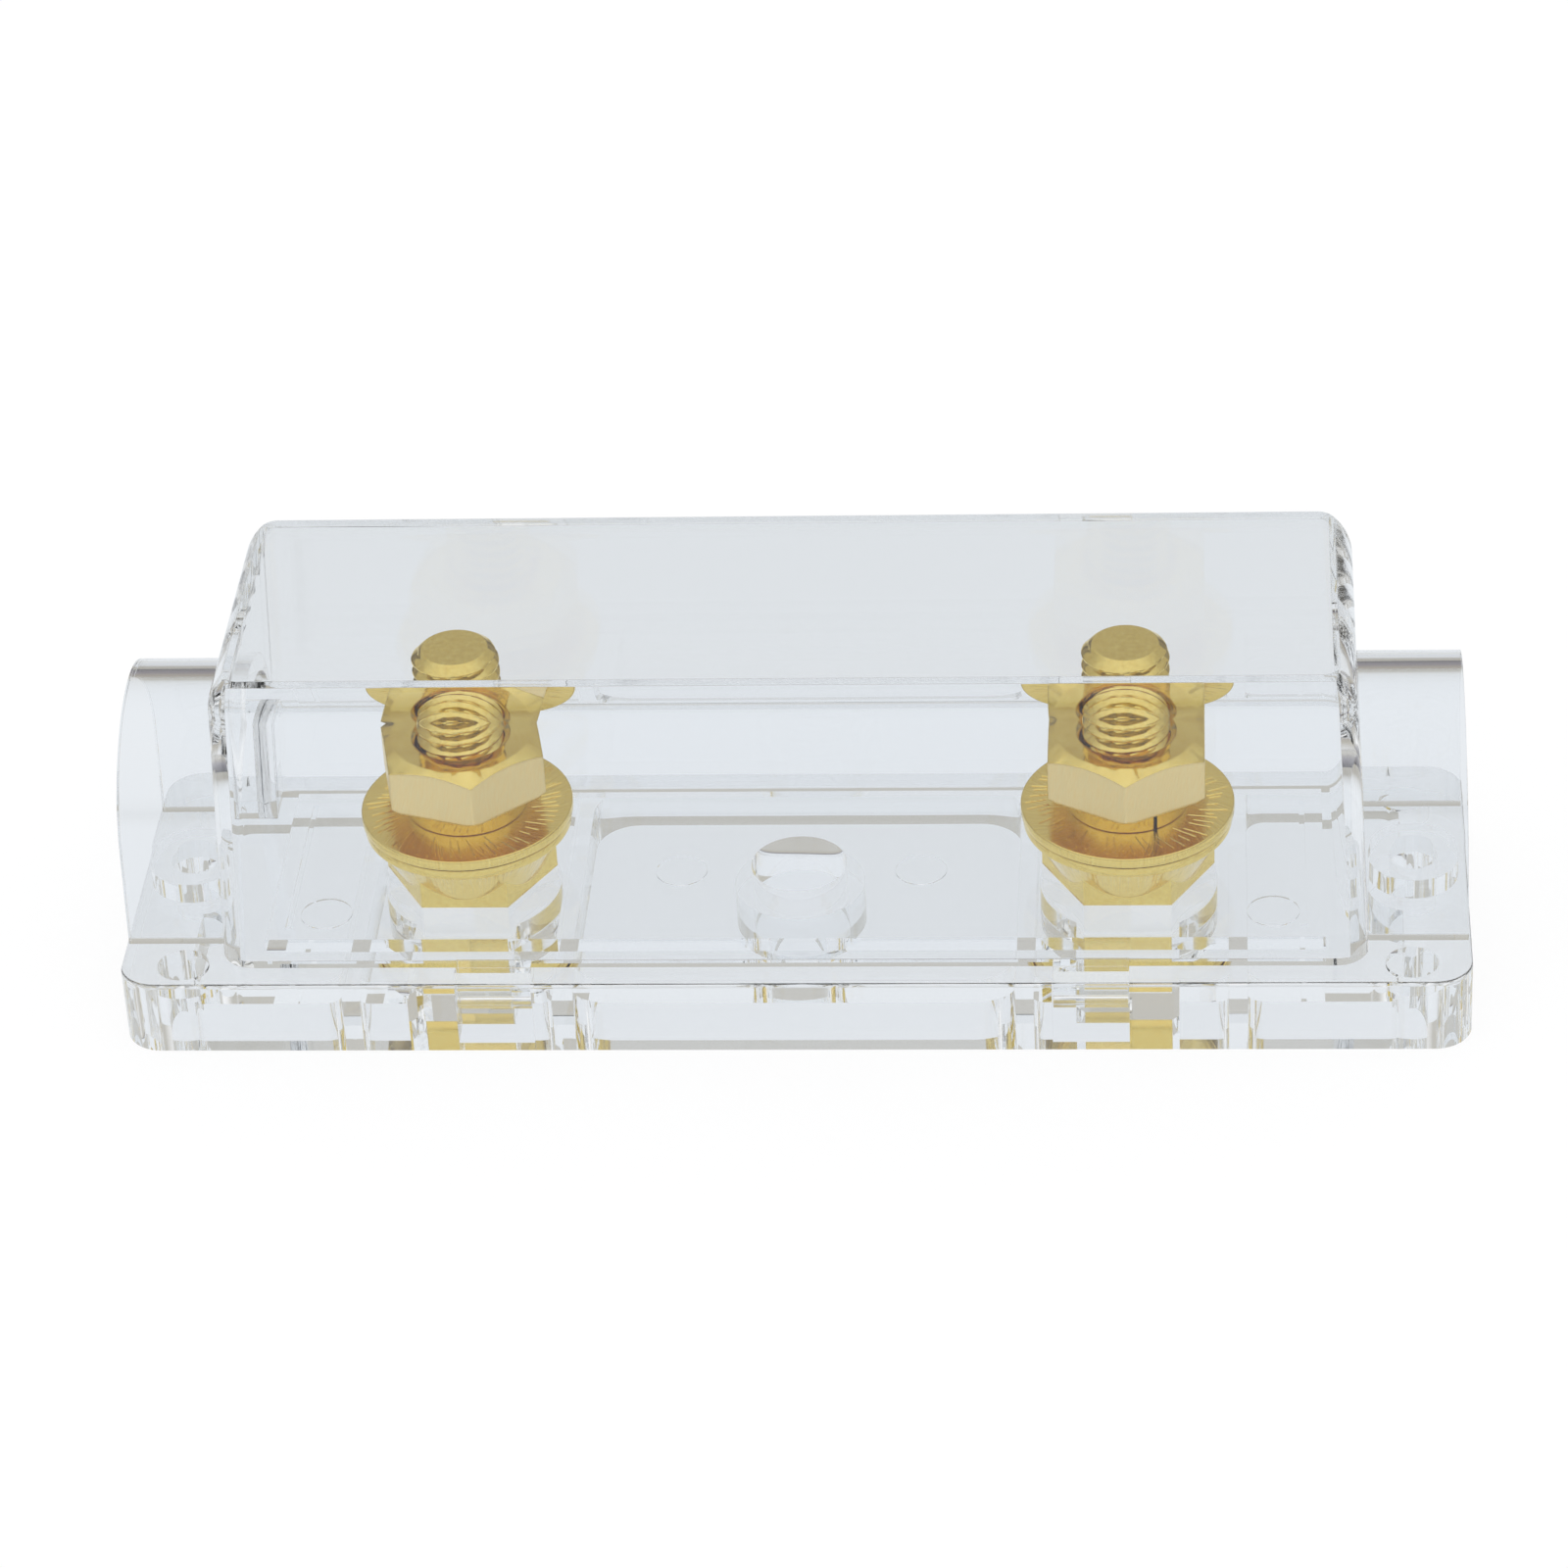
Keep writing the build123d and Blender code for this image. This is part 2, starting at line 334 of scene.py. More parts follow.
# %% [markdown]
# ### Polished brass
#
# The top of a nut is nearly a mirror. Only a slow change of the roughness keeps it from looking perfect.
# The Bevel node blends the shading of neighbouring faces, so that the nut's worn edges look a little
# rounder than its mesh.

# %% Make the polished brass
cloud_width = 2.5 * mm
cloud_depth = 0.02 * mm
polished_brass, tree = new_material("polished_plated_brass")
place = add_node(tree, "ShaderNodeTexCoord")
clouds = add_node(tree, "ShaderNodeTexNoise", inputs={
    "Vector": place.outputs["Object"], "Scale": 1 / cloud_width, "Detail": 3.0,
})
rough = add_node(tree, "ShaderNodeMapRange", inputs={
    "Value": clouds.outputs["Fac"], "From Min": noise_low, "From Max": noise_high,
    "To Min": 0.05, "To Max": 0.13,
})
tint = add_node(tree, "ShaderNodeMix", {"data_type": "RGBA"}, {
    "Factor": clouds.outputs["Fac"], "A": deep_brass, "B": pale_brass,
})
soft_edge = add_node(tree, "ShaderNodeBevel", {"samples": edge_samples}, {"Radius": edge_softness})
bumps = add_node(tree, "ShaderNodeBump", inputs={
    "Height": clouds.outputs["Fac"], "Strength": 1.0, "Distance": cloud_depth,
    "Normal": soft_edge.outputs["Normal"],
})
shader = add_node(tree, "ShaderNodeBsdfPrincipled", inputs={
    "Base Color": tint.outputs["Result"], "Metallic": 1.0, "Roughness": rough.outputs["Result"],
    "Normal": bumps.outputs["Normal"],
})
add_node(tree, "ShaderNodeOutputMaterial", inputs={"Surface": shader.outputs[0]})
print("material:", polished_brass.name)

# %% [markdown]
# ### Brushed brass
#
# The nut's six sides are brushed: short strokes that lean a little from upright. The noise is squeezed
# across the stroke and stretched along it, so that each spot becomes a stroke. Real strokes are finer than
# a pixel, so these are drawn a little coarser, to show. Their tint is paler and brighter than the other
# brass. That tint is painted light: it lightens the sides as more light from the floor in front would.

# %% Make the brushed brass
stroke_width = 0.16 * mm
stroke_length = 2.6 * mm
stroke_depth = 0.03 * mm
stroke_lean = radians(14)
brushed_brass_painted_light, tree = new_material("brushed_plated_brass_painted_light")
place = add_node(tree, "ShaderNodeTexCoord")
leaning = add_node(tree, "ShaderNodeMapping", {"vector_type": "TEXTURE"}, {
    "Vector": place.outputs["Object"], "Rotation": (0, stroke_lean, 0),
    "Scale": (stroke_width, stroke_width, stroke_length),
})
strokes = add_node(tree, "ShaderNodeTexNoise", inputs={
    "Vector": leaning.outputs["Vector"], "Scale": 1.0, "Detail": 3.0,
})
rough = add_node(tree, "ShaderNodeMapRange", inputs={
    "Value": strokes.outputs["Fac"], "From Min": noise_low, "From Max": noise_high,
    "To Min": 0.28, "To Max": 0.42,
})
# Painted light: the paler tint lightens the nut's brushed sides
tint = add_node(tree, "ShaderNodeMix", {"data_type": "RGBA"}, {
    "Factor": strokes.outputs["Fac"], "A": brushed_deep_painted_light, "B": brushed_pale_painted_light,
})
soft_edge = add_node(tree, "ShaderNodeBevel", {"samples": edge_samples}, {"Radius": edge_softness})
bumps = add_node(tree, "ShaderNodeBump", inputs={
    "Height": strokes.outputs["Fac"], "Strength": 1.0, "Distance": stroke_depth,
    "Normal": soft_edge.outputs["Normal"],
})
shader = add_node(tree, "ShaderNodeBsdfPrincipled", inputs={
    "Base Color": tint.outputs["Result"], "Metallic": 1.0, "Roughness": rough.outputs["Result"],
    "Normal": bumps.outputs["Normal"],
})
add_node(tree, "ShaderNodeOutputMaterial", inputs={"Surface": shader.outputs[0]})
print("material:", brushed_brass_painted_light.name)

# %% [markdown]
# ### Radial brass
#
# The contact washers are finished with lines that run outwards and lean a little, like a sunburst. The
# angle round the stud drives a noise in one dimension. Both studs stand the same distance from the
# middle, so the size of X alone finds the nearer stud's centre.

# %% Make the radial brass
lines_per_radian = 42.0
line_lean = 0.055 / mm
line_depth = 0.025 * mm
place_of_studs = sum(packed_extent("right_nut", "X")) / 2
radial_brass, tree = new_material("radial_plated_brass")
place = add_node(tree, "ShaderNodeTexCoord")
axes = add_node(tree, "ShaderNodeSeparateXYZ", inputs={0: place.outputs["Object"]})
far_x = add_node(tree, "ShaderNodeMath", {"operation": "ABSOLUTE"}, {0: axes.outputs["X"]})
near_x = add_node(tree, "ShaderNodeMath", {"operation": "SUBTRACT"}, {
    0: far_x.outputs[0], 1: place_of_studs,
})
angle = add_node(tree, "ShaderNodeMath", {"operation": "ARCTAN2"}, {
    0: axes.outputs["Y"], 1: near_x.outputs[0],
})
flat = add_node(tree, "ShaderNodeCombineXYZ", inputs={"X": near_x.outputs[0], "Y": axes.outputs["Y"]})
reach = add_node(tree, "ShaderNodeVectorMath", {"operation": "LENGTH"}, {0: flat.outputs["Vector"]})
lean = add_node(tree, "ShaderNodeMath", {"operation": "MULTIPLY_ADD"}, {
    0: reach.outputs["Value"], 1: line_lean, 2: angle.outputs[0],
})
lines = add_node(tree, "ShaderNodeTexNoise", {"noise_dimensions": "1D"}, {
    "W": lean.outputs[0], "Scale": lines_per_radian, "Detail": 3.0,
})
rough = add_node(tree, "ShaderNodeMapRange", inputs={
    "Value": lines.outputs["Fac"], "From Min": noise_low, "From Max": noise_high,
    "To Min": 0.06, "To Max": 0.20,
})
tint = add_node(tree, "ShaderNodeMix", {"data_type": "RGBA"}, {
    "Factor": lines.outputs["Fac"], "A": deep_brass, "B": pale_brass,
})
bumps = add_node(tree, "ShaderNodeBump", inputs={
    "Height": lines.outputs["Fac"], "Strength": 1.0, "Distance": line_depth,
})
shader = add_node(tree, "ShaderNodeBsdfPrincipled", inputs={
    "Base Color": tint.outputs["Result"], "Metallic": 1.0, "Roughness": rough.outputs["Result"],
    "Normal": bumps.outputs["Normal"],
})
add_node(tree, "ShaderNodeOutputMaterial", inputs={"Surface": shader.outputs[0]})
print("material:", radial_brass.name)

# %% [markdown]
# ## Shared steps for a piece
#
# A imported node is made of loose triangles. A copy is merged into one skin first, flat triangles are
# joined back into whole faces, and then a fine bevel can round the edges, as on every real piece. It is
# the round edge that catches the light. Another helper joins or cuts a piece with a second one, which is
# used up. The last helper copies a piece, turned about a stud where that is wanted.

# %% Helpers for pieces
merge_distance = 0.001 * mm
crease_angle = radians(32)
flat_angle = radians(0.4)
bevel_angle = radians(25)
face_weight = 100


def select_only(piece):
    bpy.ops.object.select_all(action="DESELECT")
    piece.select_set(True)
    bpy.context.view_layer.objects.active = piece


def start_selection(piece, kind="VERT"):
    select_only(piece)
    bpy.ops.object.mode_set(mode="EDIT")
    bpy.ops.mesh.select_mode(type=kind)
    bpy.ops.mesh.select_all(action="DESELECT")
    bpy.ops.object.mode_set(mode="OBJECT")


def smooth(piece, crease=crease_angle):
    select_only(piece)
    bpy.ops.object.shade_smooth_by_angle(angle=crease)
    weights = piece.modifiers.new("weights", "WEIGHTED_NORMAL")
    weights.keep_sharp = True
    weights.weight = face_weight
    bpy.ops.object.modifier_apply(modifier=weights.name)


def merged_copy(node, name):
    piece = bpy.data.objects.new(name, frame["nodes"][node].data.copy())
    bpy.context.scene.collection.objects.link(piece)
    select_only(piece)
    bpy.ops.mesh.customdata_custom_splitnormals_clear()
    bpy.ops.object.mode_set(mode="EDIT")
    bpy.ops.mesh.select_all(action="SELECT")
    bpy.ops.mesh.remove_doubles(threshold=merge_distance)
    bpy.ops.mesh.dissolve_limited(angle_limit=flat_angle)
    bpy.ops.object.mode_set(mode="OBJECT")
    piece.data.materials.clear()
    return piece


def round_edges(piece, width, segments=2):
    select_only(piece)
    edge_round = piece.modifiers.new("edge_round", "BEVEL")
    edge_round.width = width
    edge_round.segments = segments
    edge_round.limit_method = "ANGLE"
    edge_round.angle_limit = bevel_angle
    bpy.ops.object.modifier_apply(modifier=edge_round.name)


def cut_or_join(piece, other, operation):
    select_only(piece)
    change = piece.modifiers.new("change", "BOOLEAN")
    change.operation = operation
    change.solver = "EXACT"
    change.object = other
    bpy.ops.object.modifier_apply(modifier=change.name)
    bpy.data.objects.remove(other)


def finish_piece(piece, node, body, material):
    piece.data.materials.clear()
    piece.data.materials.append(material)
    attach(piece, body)
    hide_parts(node)
    print(piece.name, "faces:", len(piece.data.polygons), "body:", body)


def copy_across(piece, name, shift, turn=0.0, centre=(0, 0, 0)):
    twin = bpy.data.objects.new(name, piece.data.copy())
    bpy.context.scene.collection.objects.link(twin)
    about = Vector(centre)
    twin.data.transform(
        Matrix.Translation(Vector(shift)) @ Matrix.Translation(about)
        @ Matrix.Rotation(turn, 4, "Z") @ Matrix.Translation(-about)
    )
    return twin


# %% [markdown]
# ## Base moulding
#
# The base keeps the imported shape. The ejector pins of the mould leave shallow round marks in the
# ceilings of the hollow underside. A boolean cut with four short cylinders presses them in.

# %% Press the ejector marks
mark_radius = 2.4 * mm
mark_depth = 0.15 * mm
pocket_ceiling = 4.2 * mm
mark_places = ((-11.2, 1.8), (11.2, 1.8), (-43.8, -5.0), (43.8, -5.0))

base = merged_copy("base", "base_moulding")
for x, y in mark_places:
    bpy.ops.object.select_all(action="DESELECT")
    bpy.ops.mesh.primitive_cylinder_add(
        vertices=64, radius=mark_radius, depth=2 * mark_depth, location=(x * mm, y * mm, pocket_ceiling)
    )
    cut_or_join(base, bpy.context.active_object, "DIFFERENCE")
print("marks pressed:", len(mark_places))

# %% [markdown]
# The moulding's edges are rounded by a tenth of a millimetre before the faces are smoothed.

# %% Finish the base
moulded_edge = 0.1 * mm
round_edges(base, moulded_edge)
smooth(base)
finish_piece(base, "base", "base", clear_acrylic)

# %% [markdown]
# ## Cover moulding
#
# Bent light shows every facet, so the cover is modelled again with even rows of points. It starts as a
# cylinder whose upright edges are divided into rows. Each point is then moved: its angle gives its place
# on a rectangle with round corners, and its row gives the level, which leans in with the drafts and curls
# over at the top. The foot stands a few hundredths above the ledge, on the film of air between two
# mouldings.

# %% Outside of the cover
ledge_height = 7.3 * mm
foot_gap = 0.03 * mm
foot_height = ledge_height + foot_gap
cover_half_length = 52.35 * mm
cover_half_depth = 15.4 * mm
cover_height = packed_extent("cover", "Z")[1] - ledge_height
end_lean = tan(radians(2.6))
side_lean = tan(radians(0.2))
corner_radius = 3.0 * mm
edge_radius = 5.0 * mm
edge_turn = radians(45)
edge_rows = 12
corner_steps = 12
ring_points = 4 * (corner_steps + 1)
edge_start = cover_height - edge_radius * sin(edge_turn)


def upright_edges(mesh):
    for edge in mesh.edges:
        low, high = (mesh.vertices[i].co for i in edge.vertices)
        edge.select = abs(low.x - high.x) + abs(low.y - high.y) < merge_distance


def divide_upright(piece, cuts):
    start_selection(piece, "EDGE")
    upright_edges(piece.data)
    bpy.ops.object.mode_set(mode="EDIT")
    bpy.ops.mesh.subdivide(number_cuts=cuts)
    bpy.ops.object.mode_set(mode="OBJECT")


def cover_level(row):
    # Height above the ledge and inset of one row of points
    if row == 0:
        return foot_height - ledge_height, 0.0
    angle = edge_turn * (row - 1) / edge_rows
    return edge_start + edge_radius * sin(angle), edge_radius * (1 - cos(angle))


bpy.ops.object.select_all(action="DESELECT")
bpy.ops.mesh.primitive_cylinder_add(vertices=ring_points, radius=1.0, depth=1.0)
cover = bpy.context.active_object
cover.name = "cover_moulding"
divide_upright(cover, edge_rows)
for vertex in cover.data.vertices:
    height, inset = cover_level(round((vertex.co.z + 0.5) * (edge_rows + 1)))
    number = round(atan2(vertex.co.y, vertex.co.x) / (2 * pi) * ring_points) % ring_points
    quarter, step = divmod(number, corner_steps + 1)
    angle = pi / 2 * (quarter + step / corner_steps)
    radius = corner_radius - inset
    side_x = 1 if quarter in (0, 3) else -1
    side_y = 1 if quarter in (0, 1) else -1
    straight_x = cover_half_length - height * end_lean - corner_radius
    straight_y = cover_half_depth - height * side_lean - corner_radius
    vertex.co = (
        side_x * straight_x + radius * cos(angle),
        side_y * straight_y + radius * sin(angle),
        ledge_height + height,
    )
print("points of the cover's outside:", len(cover.data.vertices))

# %% [markdown]
# Two more shapes are needed. The cable arch is a long cylinder that is turned on its side, and its lower
# half is unrolled into two straight legs. The cavity is a cube with leaning sides. The arch is added to
# the box, the cavity is taken out, and a second, smaller arch opens the tunnel.

# %% Arch, cavity and tunnel
arch_outer = 11.5 * mm
arch_inner = 9.8 * mm
arch_end = packed_extent("cover", "X")[1]
arch_lean = tan(radians(1.4))
arch_centre = 17.6 * mm
arch_points = 128
cavity_top = 36.4 * mm
wall_thickness = 2.0 * mm
past = 1.0 * mm


def cable_arch(radius, foot, end, lean):
    # Upper half circle, then down one leg, across the foot and up the other leg
    bpy.ops.object.select_all(action="DESELECT")
    bpy.ops.mesh.primitive_cylinder_add(vertices=arch_points, radius=1.0, depth=2.0)
    arch = bpy.context.active_object
    for vertex in arch.data.vertices:
        share = (atan2(vertex.co.y, vertex.co.x) / (2 * pi)) % 1.0
        y, z = radius * vertex.co.x, arch_centre + radius * vertex.co.y
        if share > 0.5:
            walk = (share - 0.5) * 8
            y = radius * min(1.0, max(-1.0, walk - 2))
            z = arch_centre - (arch_centre - foot) * min(1.0, walk, 4 - walk)
        vertex.co = (vertex.co.z * (end - (z - ledge_height) * lean), y, z)
    start_selection(arch)
    bpy.ops.object.mode_set(mode="EDIT")
    bpy.ops.mesh.select_all(action="SELECT")
    bpy.ops.mesh.normals_make_consistent(inside=False)
    bpy.ops.object.mode_set(mode="OBJECT")
    return arch


def leaning_cavity():
    bpy.ops.object.select_all(action="DESELECT")
    bpy.ops.mesh.primitive_cube_add(size=2.0)
    cavity = bpy.context.active_object
    for vertex in cavity.data.vertices:
        z = cavity_top if vertex.co.z > 0 else ledge_height - past
        half_length = cover_half_length - wall_thickness - (z - ledge_height) * end_lean
        half_depth = cover_half_depth - wall_thickness - (z - ledge_height) * side_lean
        vertex.co = (vertex.co.x * half_length, vertex.co.y * half_depth, z)
    return cavity


cut_or_join(cover, cable_arch(arch_outer, foot_height, arch_end, arch_lean), "UNION")
cut_or_join(cover, leaning_cavity(), "DIFFERENCE")
cut_or_join(cover, cable_arch(arch_inner, ledge_height - past, arch_end + past, 0.0), "DIFFERENCE")
print("cover faces:", len(cover.data.polygons))

# %% [markdown]
# Each snap tab is a cube with a round bead along its outer face. It is modelled once and copied to four
# places under the long walls.

# %% Snap tabs
tab_place = 27.2 * mm
tab_half_width = 3.4 * mm
tab_bottom = packed_extent("cover", "Z")[0]
bead_radius = 0.5 * mm
bead_height = 4.2 * mm

bpy.ops.object.select_all(action="DESELECT")
bpy.ops.mesh.primitive_cube_add(size=2.0)
tab = bpy.context.active_object
for vertex in tab.data.vertices:
    vertex.co.x *= tab_half_width
    vertex.co.y = cover_half_depth - (0 if vertex.co.y > 0 else wall_thickness)
    vertex.co.z = foot_height if vertex.co.z > 0 else tab_bottom
bpy.ops.object.select_all(action="DESELECT")
bpy.ops.mesh.primitive_cylinder_add(
    vertices=32, radius=bead_radius, depth=2 * tab_half_width, rotation=(0, pi / 2, 0),
    location=(0, cover_half_depth, bead_height),
)
cut_or_join(tab, bpy.context.active_object, "UNION")
for x, turn in ((tab_place, 0.0), (-tab_place, 0.0), (tab_place, pi), (-tab_place, pi)):
    cut_or_join(cover, copy_across(tab, "tab", (x, 0, 0), turn), "UNION")
bpy.data.objects.remove(tab)
print("cover faces with tabs:", len(cover.data.polygons))

# %% [markdown]
# The cover's edges get the same fine rounding as the base, and the same clear plastic.

# %% Finish the cover
round_edges(cover, moulded_edge)
smooth(cover)
finish_piece(cover, "cover", "cover", clear_acrylic)

# %% [markdown]
# ## Stud bolts
#
# The hexagon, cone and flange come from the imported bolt. Its plain shank is cut off inside the washer
# and a real thread takes its place. The thread starts as an open cylinder. Its upright edges are divided
# into many rows, and each point is then moved inwards by the depth of the groove at its own turn of the
# helix, just as the cutter leaves it.

# %% Thread of the stud
stud_radius = 4.0 * mm
thread_pitch = 1.25 * mm
thread_depth = 0.7 * mm
thread_bottom = sum(packed_extent("left_contact_washer", "Z")) / 2
stud_top = 31.6 * mm
end_radius = 2.95 * mm
end_chamfer = 0.75 * mm
thread_sides = 96
thread_rows = (12, 12)
flank_slope = 1.25
flank_offset = 0.15
left_stud = Vector((-place_of_studs, 0, 0))
right_stud = -left_stud
spacing = right_stud - left_stud


def groove(turns):
    # Flat crest, straight flanks and a narrow root, as a share of the depth
    phase = turns % 1.0
    slope = 1 - abs(2 * phase - 1)
    return min(1.0, max(0.0, slope * flank_slope - flank_offset))


bpy.ops.object.select_all(action="DESELECT")
bpy.ops.mesh.primitive_cylinder_add(
    vertices=thread_sides, radius=stud_radius, depth=stud_top - thread_bottom, end_fill_type="NOTHING",
    location=left_stud + Vector((0, 0, (stud_top + thread_bottom) / 2)),
)
thread = bpy.context.active_object
thread.name = "thread"
bpy.ops.object.transform_apply(location=True)
for cuts in thread_rows:
    divide_upright(thread, cuts)

for vertex in thread.data.vertices:
    offset = vertex.co - left_stud
    around = atan2(offset.y, offset.x)
    turns = offset.z / thread_pitch - around / (2 * pi)
    below_end = max(0.0, vertex.co.z - (stud_top - end_chamfer)) / end_chamfer
    limit = stud_radius - (stud_radius - end_radius) * below_end
    radius = min(stud_radius - thread_depth * groove(turns), limit)
    vertex.co.x = left_stud.x + radius * cos(around)
    vertex.co.y = left_stud.y + radius * sin(around)

start_selection(thread, "EDGE")
bpy.ops.object.mode_set(mode="EDIT")
bpy.ops.mesh.select_non_manifold()
bpy.ops.mesh.edge_face_add()
bpy.ops.object.mode_set(mode="OBJECT")
print("thread faces:", len(thread.data.polygons))

# %% [markdown]
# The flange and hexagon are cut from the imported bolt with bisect, which also caps the cut. The hexagon's
# underside is raised by the film of air, so that it doesn't share a plane with its socket, and the top of
# the flange falls a little towards its rim, which leaves a thin dark line under the washer. A steep cone
# is added under the flange, where the hexagon's corners run out into it. Thread and bolt are then joined,
# and the finished left bolt is copied to the right.

# %% Join the bolts
hexagon_bottom = packed_extent("left_stud_bolt", "Z")[0]
flange_top = packed_extent("left_contact_washer", "Z")[0]
flange_fall = 0.16 * mm
rim_edge = 0.15 * mm
neck_low = 9.4 * mm
neck_high = 13.9 * mm
neck_low_radius = 6.85 * mm
neck_high_radius = 9.3 * mm
neck_sides = 128
bolt_crease = radians(38)
bolt = merged_copy("left_stud_bolt", "left_brass_stud_bolt")
start_selection(bolt)
bpy.ops.object.mode_set(mode="EDIT")
bpy.ops.mesh.select_all(action="SELECT")
bpy.ops.mesh.bisect(plane_co=(0, 0, thread_bottom), plane_no=(0, 0, 1), use_fill=True, clear_outer=True)
bpy.ops.object.mode_set(mode="OBJECT")
for vertex in bolt.data.vertices:
    from_axis = (vertex.co - left_stud).xy.length
    if abs(vertex.co.z - hexagon_bottom) < merge_distance:
        vertex.co.z += air_film
    if abs(vertex.co.z - flange_top) < merge_distance and from_axis > 2 * stud_radius:
        vertex.co.z -= flange_fall
bpy.ops.object.select_all(action="DESELECT")
bpy.ops.mesh.primitive_cone_add(
    vertices=neck_sides, radius1=neck_low_radius, radius2=neck_high_radius, depth=neck_high - neck_low,
    location=left_stud + Vector((0, 0, (neck_low + neck_high) / 2)),
)
cut_or_join(bolt, bpy.context.active_object, "UNION")
round_edges(bolt, rim_edge, segments=3)

select_only(bolt)
thread.select_set(True)
bpy.ops.object.join()
right_bolt = copy_across(bolt, "right_brass_stud_bolt", spacing)
for piece, side in ((bolt, "left"), (right_bolt, "right")):
    smooth(piece, bolt_crease)
    finish_piece(piece, f"{side}_stud_bolt", "base", turned_brass)

# %% [markdown]
# ## Contact washers
#
# The washer is a plain ring with a rounded rim. Its upper face has fine raised lines that bite into the
# cable terminal. Each line is one slim ridge, a cube drawn out to a sliver whose top is pulled narrow.

# %% Ridge of the contact washer
ridge_half_width = 0.13 * mm
ridge_height = 0.09 * mm
ridge_top_share = 0.2
ridge_start = 6.0 * mm
ridge_end = 9.5 * mm
ridge_lean = radians(13)
ridge_count = 62
angle_spread = 0.4
start_spread = 1.6 * mm
end_spread = 1.3 * mm
contact_washer_top = packed_extent("left_contact_washer", "Z")[1]
chance = Random(11)

bpy.ops.object.select_all(action="DESELECT")
bpy.ops.mesh.primitive_cube_add(size=1.0)
ridge = bpy.context.active_object
for vertex in ridge.data.vertices:
    vertex.co.y *= 2 * ridge_half_width * (ridge_top_share if vertex.co.z > 0 else 1.0)
    vertex.co.z *= 2 * ridge_height
print("ridge faces:", len(ridge.data.polygons))

# %% [markdown]
# The ridge is copied round the stud at uneven angles and with uneven lengths, drawn from a seeded list so
# that every run gives the same washers. The copies are joined to the ring.

# %% Finish the contact washers
washer = merged_copy("left_contact_washer", "left_brass_contact_washer")
round_edges(washer, rim_edge, segments=3)
right_washer = copy_across(washer, "right_brass_contact_washer", spacing)
for piece, side, centre in ((washer, "left", left_stud), (right_washer, "right", right_stud)):
    lines = []
    for count in range(ridge_count):
        around = 2 * pi * (count + chance.uniform(-angle_spread, angle_spread)) / ridge_count
        inner = ridge_start + chance.uniform(0.0, start_spread)
        outer = ridge_end - chance.uniform(0.0, end_spread)
        halfway = (inner + outer) / 2
        middle = Vector((halfway * cos(around), halfway * sin(around), contact_washer_top))
        line = copy_across(ridge, "line", (0, 0, 0))
        line.data.transform(
            Matrix.Translation(centre + middle) @ Matrix.Rotation(around + ridge_lean, 4, "Z")
            @ Matrix.Scale(outer - inner, 4, (1, 0, 0))
        )
        lines.append(line)
    select_only(piece)
    for line in lines:
        line.select_set(True)
    bpy.ops.object.join()
    smooth(piece)
    finish_piece(piece, f"{side}_contact_washer", "base", radial_brass)
bpy.data.objects.remove(ridge)

# %% [markdown]
# ## Lock washers
#
# A lock washer is one turn of square spring wire. Clamped under a tightened nut it lies flat, and only
# the split shows. A rectangle is spun almost all the way round the stud, which leaves the split open. The
# right one is finished first, then a copy is turned and moved to the left.

# %% Spin the lock washers
wire_inner = 4.2 * mm
wire_outer = 5.6 * mm
wire_edge = 0.12 * mm
gap_below = 0.02 * mm
gap_above = 0.01 * mm
wire_bottom = contact_washer_top + gap_below
wire_top = packed_extent("right_nut", "Z")[0] - gap_above
split_angle = radians(3)
right_split = radians(-65)
left_split = radians(115)
spin_steps = 120

bpy.ops.object.select_all(action="DESELECT")
bpy.ops.mesh.primitive_plane_add(size=1.0)
right_wire = bpy.context.active_object
right_wire.name = "right_brass_lock_washer"
start = right_split + split_angle / 2
outwards = Vector((cos(start), sin(start), 0))
for vertex in right_wire.data.vertices:
    across = wire_inner if vertex.co.x < 0 else wire_outer
    height = wire_bottom if vertex.co.y < 0 else wire_top
    vertex.co = right_stud + across * outwards + Vector((0, 0, height))
start_selection(right_wire)
bpy.ops.object.mode_set(mode="EDIT")
bpy.ops.mesh.select_all(action="SELECT")
bpy.ops.mesh.spin(steps=spin_steps, angle=2 * pi - split_angle, center=right_stud, axis=(0, 0, 1))
bpy.ops.mesh.select_all(action="SELECT")
bpy.ops.mesh.remove_doubles(threshold=merge_distance)
bpy.ops.mesh.normals_make_consistent(inside=False)
bpy.ops.object.mode_set(mode="OBJECT")
round_edges(right_wire, wire_edge)
wire_turn = left_split - right_split
left_wire = copy_across(right_wire, "left_brass_lock_washer", -spacing, wire_turn, right_stud)
for piece, side in ((left_wire, "left"), (right_wire, "right")):
    smooth(piece)
    finish_piece(piece, f"{side}_lock_washer", f"{side}_lock_washer", turned_brass)

# %% [markdown]
# ## Nuts
#
# A nut is a six-sided cylinder. Where a wide blunt cone meets it at the top, the six sides end in curved
# lines and the top is left round, and a larger cone only breaks the corners below. A long cylinder opens
# the bore and two short cones countersink its mouths. Each cone is turned by half a step, so that a corner
# of the nut meets the middle of one of the cone's faces and never an edge.

# %% Cut the nut from its blank
nut_corner = packed_extent("right_nut", "Y")[1]
nut_bottom, nut_top = packed_extent("right_nut", "Z")
top_round = 6.5 * mm
top_slope = tan(radians(30))
bottom_round = 7.8 * mm
bottom_slope = 0.62
bore_radius = 4.05 * mm
countersink = 0.55 * mm
spare = 0.5 * mm
cone_sides = 132


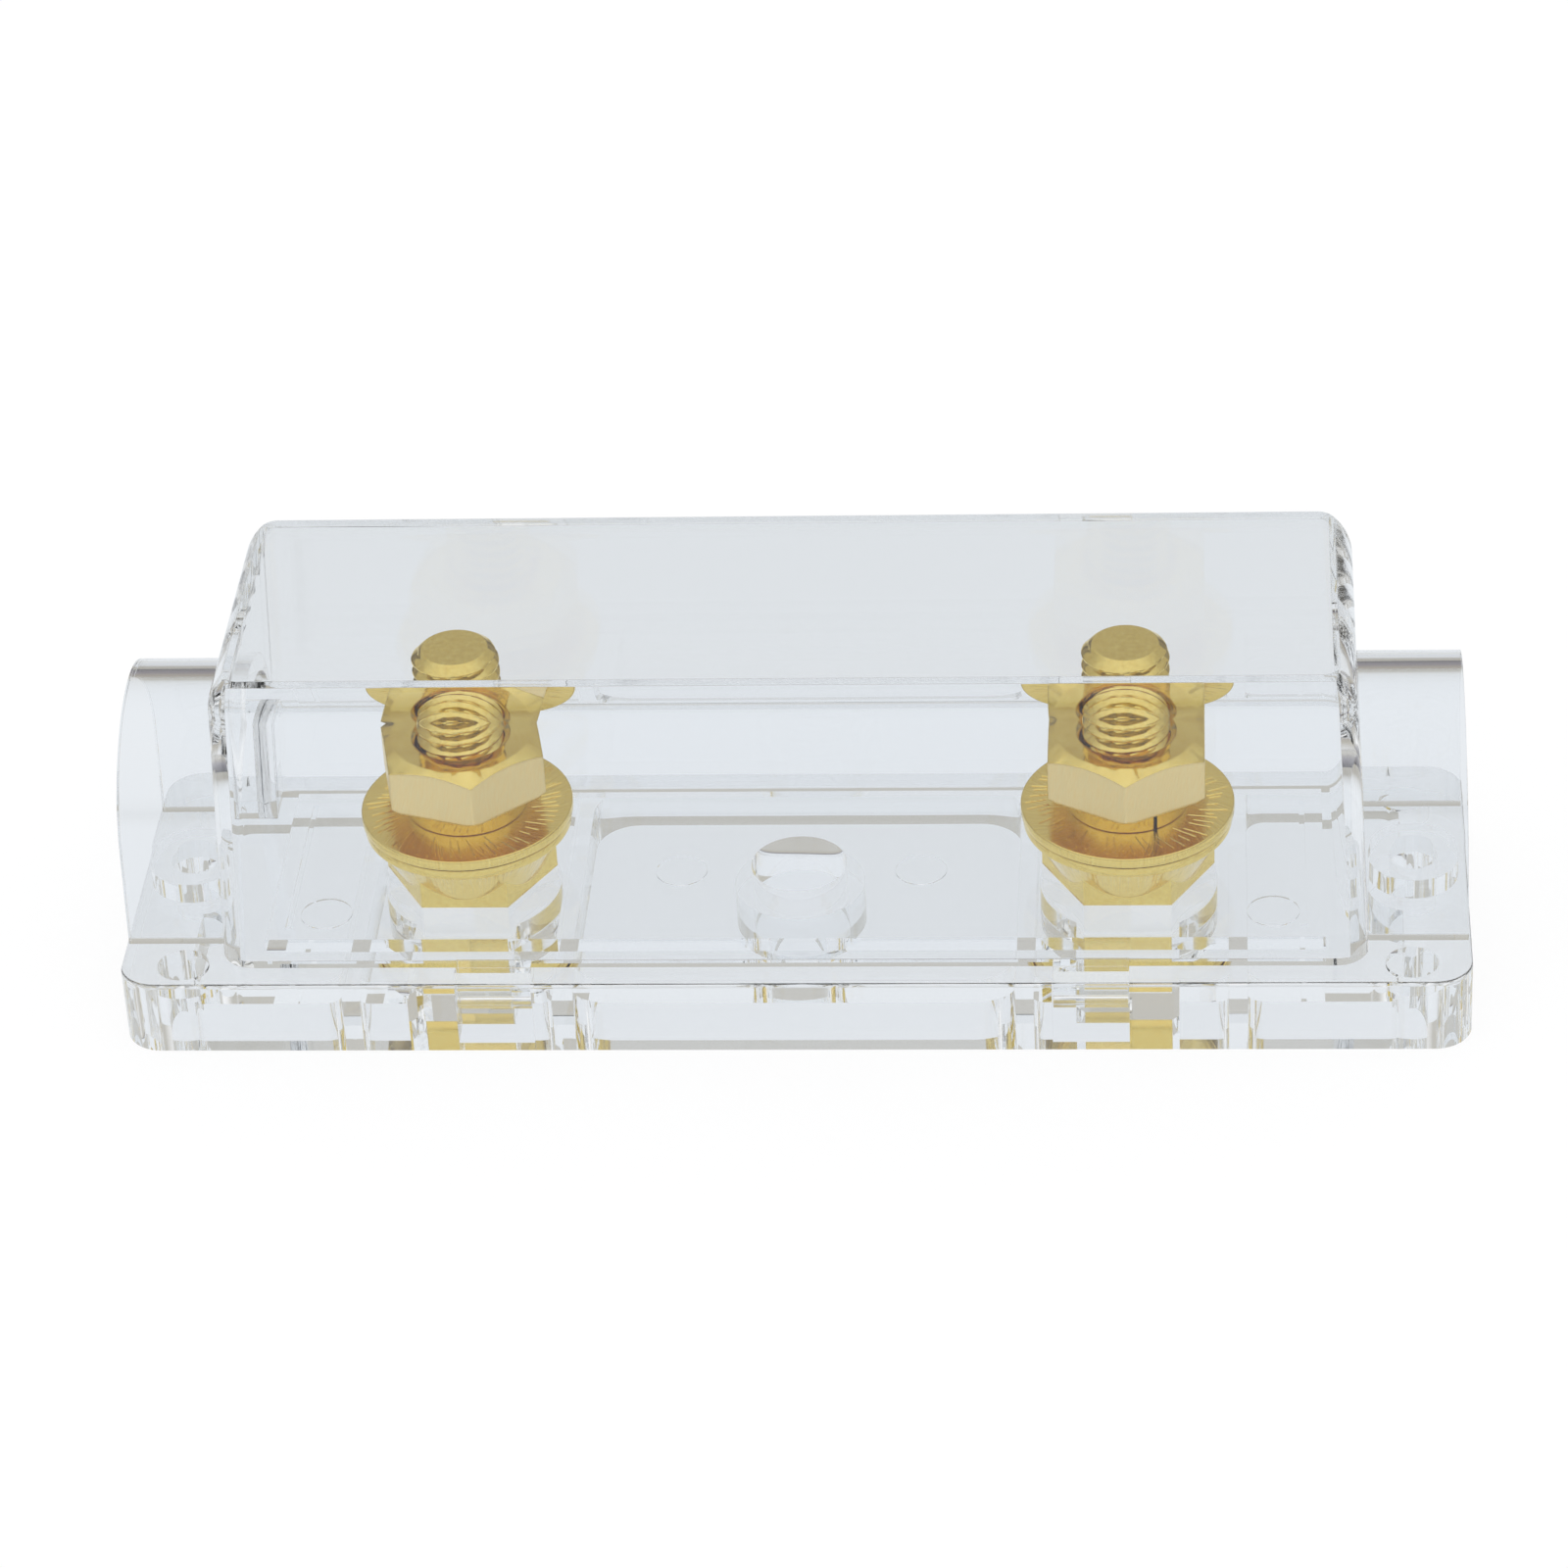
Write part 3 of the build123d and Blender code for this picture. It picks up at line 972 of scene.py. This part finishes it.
def upright_cone(low, low_radius, high, high_radius):
    bpy.ops.object.select_all(action="DESELECT")
    bpy.ops.mesh.primitive_cone_add(
        vertices=cone_sides, radius1=low_radius, radius2=high_radius, depth=high - low,
        location=right_stud + Vector((0, 0, (low + high) / 2)), rotation=(0, 0, pi / cone_sides),
    )
    return bpy.context.active_object


bpy.ops.object.select_all(action="DESELECT")
bpy.ops.mesh.primitive_cylinder_add(
    vertices=6, radius=nut_corner, depth=nut_top - nut_bottom,
    location=right_stud + Vector((0, 0, (nut_bottom + nut_top) / 2)),
)
right_nut = bpy.context.active_object
right_nut.name = "right_brass_nut"
bpy.ops.object.transform_apply(location=True)
low, high = nut_bottom - spare, nut_top + spare
span = high - low
above_round = top_round - spare / top_slope
below_round = bottom_round - spare / bottom_slope
top_cone = upright_cone(low, above_round + span / top_slope, high, above_round)
cut_or_join(right_nut, top_cone, "INTERSECT")
bottom_cone = upright_cone(low, below_round, high, below_round + span / bottom_slope)
cut_or_join(right_nut, bottom_cone, "INTERSECT")
cut_or_join(right_nut, upright_cone(low, bore_radius, high, bore_radius), "DIFFERENCE")
mouth, inside = bore_radius + countersink + spare, bore_radius - spare
deep = countersink + spare
cut_or_join(right_nut, upright_cone(nut_top - deep, inside, high, mouth), "DIFFERENCE")
cut_or_join(right_nut, upright_cone(low, mouth, nut_bottom + deep, inside), "DIFFERENCE")
print("nut faces:", len(right_nut.data.polygons))

# %% [markdown]
# Top, cones and bore are polished. Only the six sides are brushed, and they are also tinted paler,
# which is painted light, so they get a second material: a face belongs to a side when it stands upright
# and lies well outside the bore.

# %% Finish the nuts
nut_edge = 0.2 * mm
upright_limit = 0.2
left_nut_turn = radians(12)
round_edges(right_nut, nut_edge, segments=3)
left_nut = copy_across(right_nut, "left_brass_nut", -spacing, left_nut_turn, right_stud)
for piece, side, centre in ((left_nut, "left", left_stud), (right_nut, "right", right_stud)):
    smooth(piece)
    finish_piece(piece, f"{side}_nut", f"{side}_nut", polished_brass)
    piece.data.materials.append(brushed_brass_painted_light)
    for face in piece.data.polygons:
        outside = hypot(face.center.x - centre.x, face.center.y) > top_round
        face.material_index = 1 if outside and abs(face.normal.z) < upright_limit else 0
